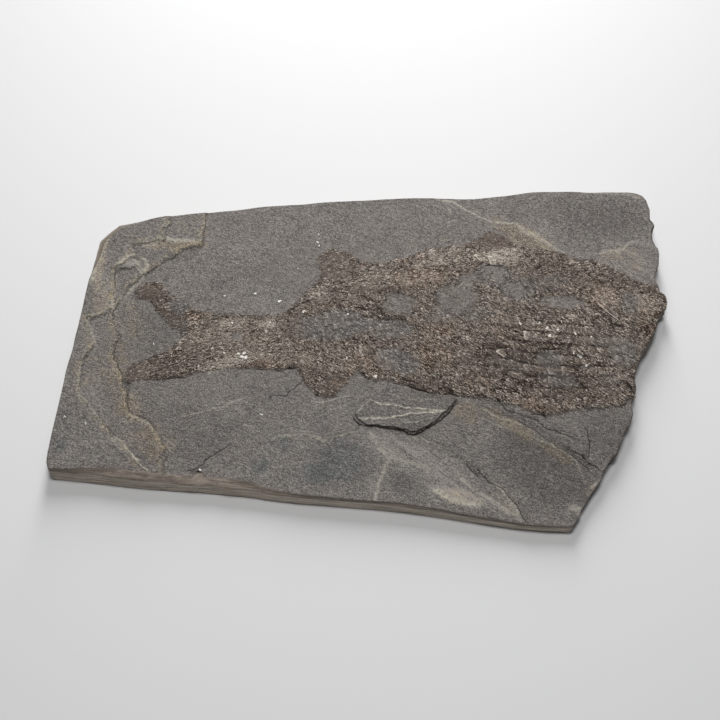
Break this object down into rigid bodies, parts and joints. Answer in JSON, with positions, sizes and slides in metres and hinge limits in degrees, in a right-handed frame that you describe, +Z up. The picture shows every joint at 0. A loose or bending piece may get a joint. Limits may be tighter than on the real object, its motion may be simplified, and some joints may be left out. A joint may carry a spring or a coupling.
{
  "type": "fossil fish slab",
  "caption": "Flat shale slab with a scaled fossil fish pressed into its top bed, sawn on three sides and broken off at the head end.",
  "frame": {"origin": "on the flat underside, at the middle of the bounding box", "axes": "+X along the slab from the tail to the broken head end, +Y from the front edge to the back edge, +Z up out of the fossil's bed"},
  "size_m": [0.216, 0.134, 0.0101],
  "materials": {
    "shale": "matte natural bedding surface of dark grey shale, with lighter worn edges and ochre staining",
    "fossil_scales": "dark brown mineralised scales and bone with a slight glint"
  },
  "bodies": {
    "root": {"slab": "shale"}
  },
  "joints": []
}
